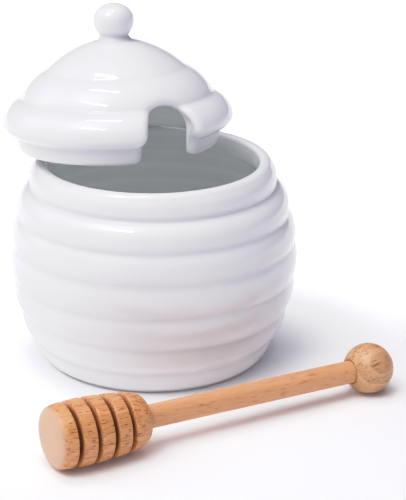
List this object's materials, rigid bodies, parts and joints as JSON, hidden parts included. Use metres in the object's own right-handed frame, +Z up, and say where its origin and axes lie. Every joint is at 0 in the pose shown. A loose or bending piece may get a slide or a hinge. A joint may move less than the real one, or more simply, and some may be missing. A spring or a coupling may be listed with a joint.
{
  "type": "honey pot",
  "caption": "Ribbed beehive honey jar in white glazed porcelain, its notched lift-off lid leaning on the rim, with a turned beech dipper lying in front.",
  "frame": {"origin": "on the table, under the middle of the whole set's bounding box", "axes": "+Z up; +X to the picture's right, towards the dipper's ball; -Y towards the viewer, where the dipper lies"},
  "size_m": [0.1436, 0.1638, 0.1323],
  "materials": {
    "glaze": "white porcelain under a clear gloss glaze",
    "beech_head": "fine-sanded beech, steamed to a warm tan, unvarnished",
    "beech_dowel": "fine-sanded beech dowel, unvarnished",
    "beech_ball": "fine-sanded beech, paler, unvarnished"
  },
  "bodies": {
    "pot": {"pot": "glaze"},
    "lid": {"lid": "glaze"},
    "dipper": {"dipper_head": "beech_head", "dipper_handle": "beech_dowel", "dipper_ball": "beech_ball"}
  },
  "joints": [
    {"name": "lid_lift", "type": "slide", "parent": "pot", "child": "lid", "axis": [0, 0, 1], "range_m": [0, 0.1]},
    {"name": "dipper_lift", "type": "slide", "parent": "pot", "child": "dipper", "axis": [0, 0, 1], "range_m": [0, 0.15]}
  ]
}
